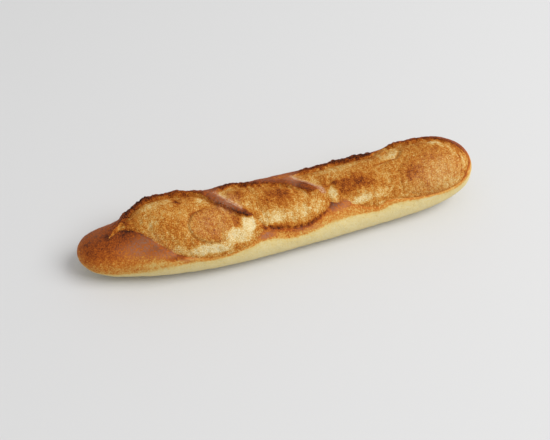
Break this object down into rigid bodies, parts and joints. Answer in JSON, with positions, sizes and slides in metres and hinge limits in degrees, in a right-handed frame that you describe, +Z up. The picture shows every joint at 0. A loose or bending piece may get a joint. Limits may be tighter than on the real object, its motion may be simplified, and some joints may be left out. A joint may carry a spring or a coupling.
{
  "type": "demi-baguette",
  "caption": "Short crusty bread loaf with slanting scores opened into rough blooms beside raised ears, lying on its flat base.",
  "frame": {"origin": "on the flat base, under the middle of the loaf", "axes": "+X along the loaf from its narrow end to its blunt end, +Y towards the side with the raised ears, +Z up"},
  "size_m": [0.318, 0.0693, 0.0485],
  "materials": {
    "crust": "baked crust, matt with a faint sheen"
  },
  "bodies": {
    "root": {"baguette": "crust"}
  },
  "joints": []
}
